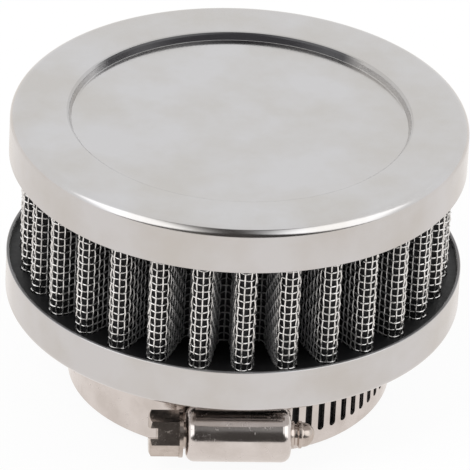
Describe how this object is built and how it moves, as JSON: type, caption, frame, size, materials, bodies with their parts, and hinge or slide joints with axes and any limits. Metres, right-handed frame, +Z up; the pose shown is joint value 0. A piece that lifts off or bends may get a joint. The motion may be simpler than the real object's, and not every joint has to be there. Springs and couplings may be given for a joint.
{
  "type": "intake air filter",
  "caption": "Round pleated intake air filter with two polished steel caps, a wire mesh cover, a rubber neck and a worm drive clamp that holds it on an engine's intake.",
  "frame": {"origin": "centre of the neck's mouth, where the filter stands", "axes": "+Z up along the filter's axis from the neck to the top cap, -Y towards the clamp's screw housing, +X along the screw from its head to its tip"},
  "size_m": [0.08, 0.08, 0.0521],
  "materials": {
    "polished_steel": "polished",
    "clamp_steel": "polished",
    "screw_steel": "satin",
    "mesh_wire": "satin",
    "gauze": "matt",
    "seal": "satin",
    "neck_rubber": "matt"
  },
  "bodies": {
    "filter": {"top_cap": "polished_steel", "top_seal": "seal", "outer_mesh": "mesh_wire", "filter_gauze": "gauze", "inner_mesh": "mesh_wire", "bottom_seal": "seal", "bottom_cap": "polished_steel", "neck": "neck_rubber", "clamp_band": "clamp_steel", "clamp_housing": "clamp_steel"},
    "clamp_screw": {"clamp_screw": "screw_steel"}
  },
  "joints": [
    {"name": "clamp_screw_turn", "type": "hinge", "parent": "filter", "child": "clamp_screw", "pos_m": [0, -0.03275, 0.00715], "axis": [1, 0, 0], "continuous": true}
  ]
}
